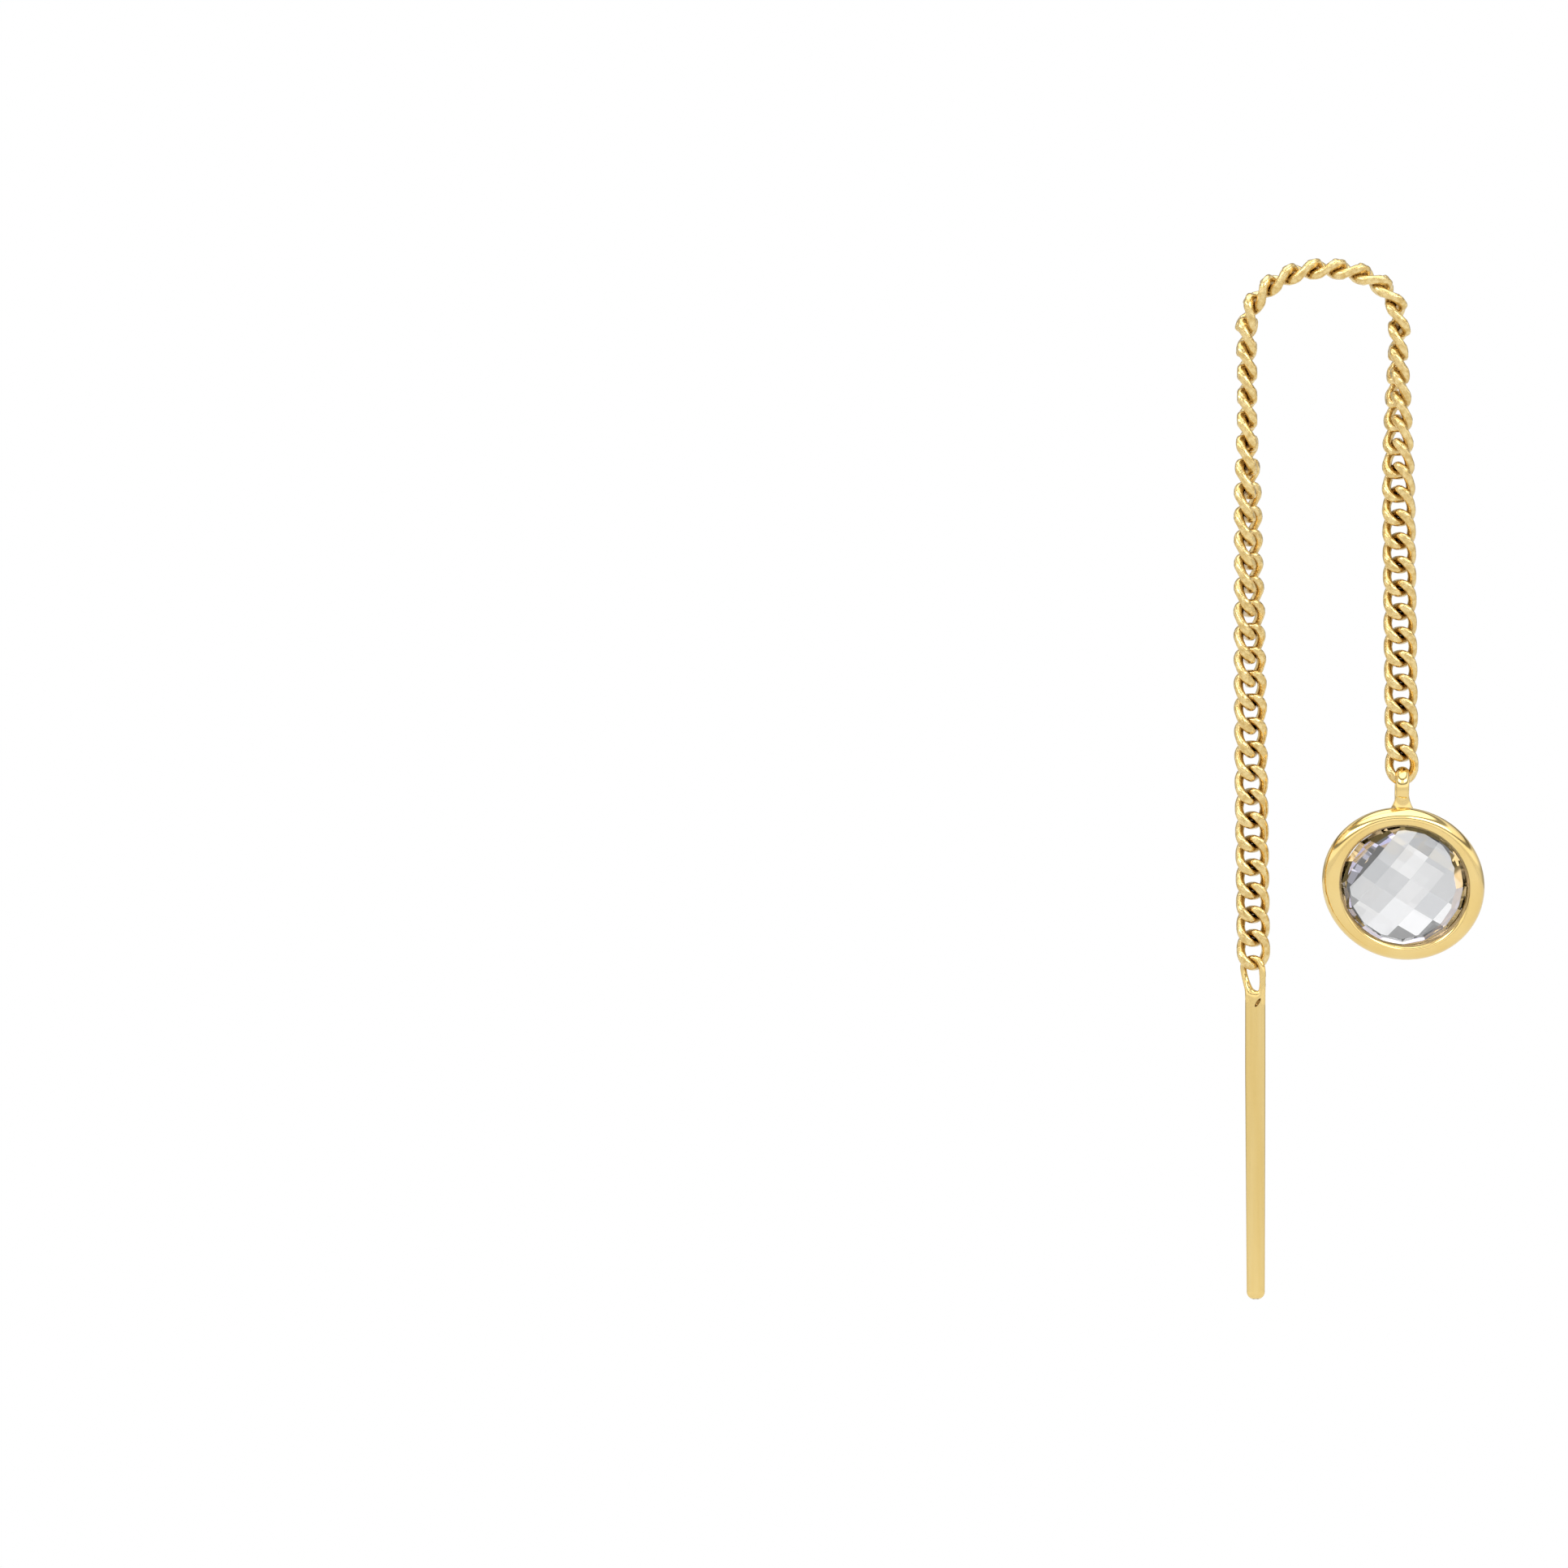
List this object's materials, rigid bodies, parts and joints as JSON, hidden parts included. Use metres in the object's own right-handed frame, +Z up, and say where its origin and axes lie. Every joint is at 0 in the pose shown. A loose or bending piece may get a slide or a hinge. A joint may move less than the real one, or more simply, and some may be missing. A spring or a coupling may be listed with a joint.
{
  "type": "threader earring",
  "caption": "Threader earring: a fine curb chain with a round bezel-set stone drop on one end and a straight post on the other.",
  "frame": {"origin": "where the chain's centre line crosses the crown of its arch, which is where it lies in the ear piercing", "axes": "+Z up, the chain's two legs and the post hang along -Z; +X from the leg with the post to the leg with the drop; the stone faces -Y"},
  "size_m": [0.0096, 0.0036, 0.0401],
  "materials": {
    "chain_gold": "polished 9 ct yellow gold, link faces lightly ground flat",
    "bezel_gold": "high polish 9 ct yellow gold",
    "clear_stone": "cut and polished colourless cubic zirconia, square facets on the crown",
    "post_gold": "drawn and polished 9 ct yellow gold"
  },
  "bodies": {
    "chain": {"chain_drop_side": "chain_gold", "chain_post_side": "chain_gold"},
    "drop": {"bezel": "bezel_gold", "stone": "clear_stone"},
    "post": {"post": "post_gold"}
  },
  "joints": [
    {"name": "drop_swing", "type": "hinge", "parent": "chain", "child": "drop", "pos_m": [0.00298, 0, -0.01974], "axis": [0.9945, 0.1045, 0], "range_deg": [-45, 45]},
    {"name": "post_swing", "type": "hinge", "parent": "chain", "child": "post", "pos_m": [-0.00273, 0, -0.02686], "axis": [-0.4695, -0.8829, 0], "range_deg": [-60, 60]}
  ]
}
